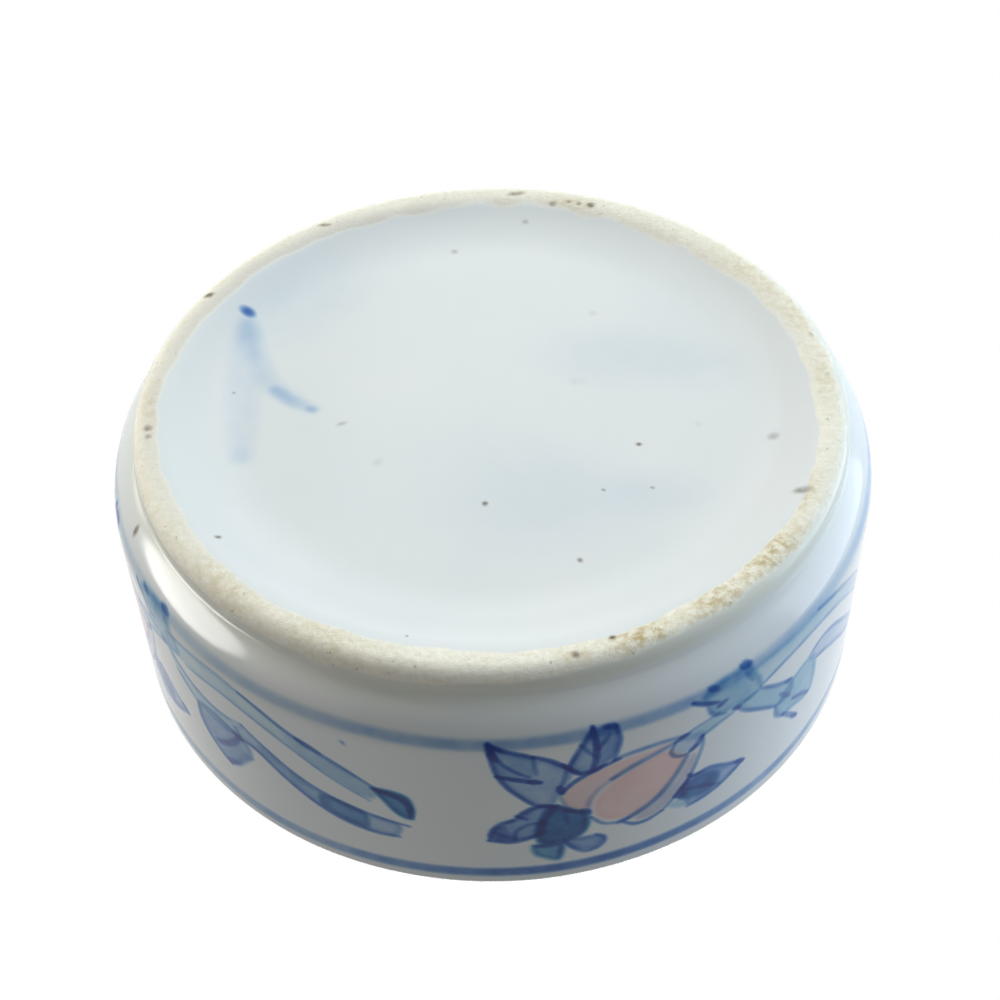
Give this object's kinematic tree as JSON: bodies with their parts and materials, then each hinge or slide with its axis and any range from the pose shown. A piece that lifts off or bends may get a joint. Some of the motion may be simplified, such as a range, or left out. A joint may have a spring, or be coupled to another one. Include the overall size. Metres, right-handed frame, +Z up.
{
  "type": "lidded trinket box",
  "caption": "Round straight-sided glazed porcelain trinket box on a low unglazed foot ring, with a low domed lift-off lid.",
  "frame": {"origin": "centre of the foot ring's resting plane", "axes": "+Z up along the box's axis, -Y towards the painted bud"},
  "size_m": [0.076, 0.076, 0.0368],
  "materials": {
    "body_porcelain": "glossy clear glaze over white porcelain with painted blue and pink decoration; foot ring left unglazed",
    "lid_porcelain": "glossy clear glaze over white porcelain with painted blue and pink decoration; seat left unglazed"
  },
  "bodies": {
    "box": {"box_body": "body_porcelain"},
    "cover": {"lid": "lid_porcelain"}
  },
  "joints": [
    {"name": "lid_lift", "type": "slide", "parent": "box", "child": "cover", "axis": [0, 0, 1], "range_m": [0, 0.03]}
  ]
}
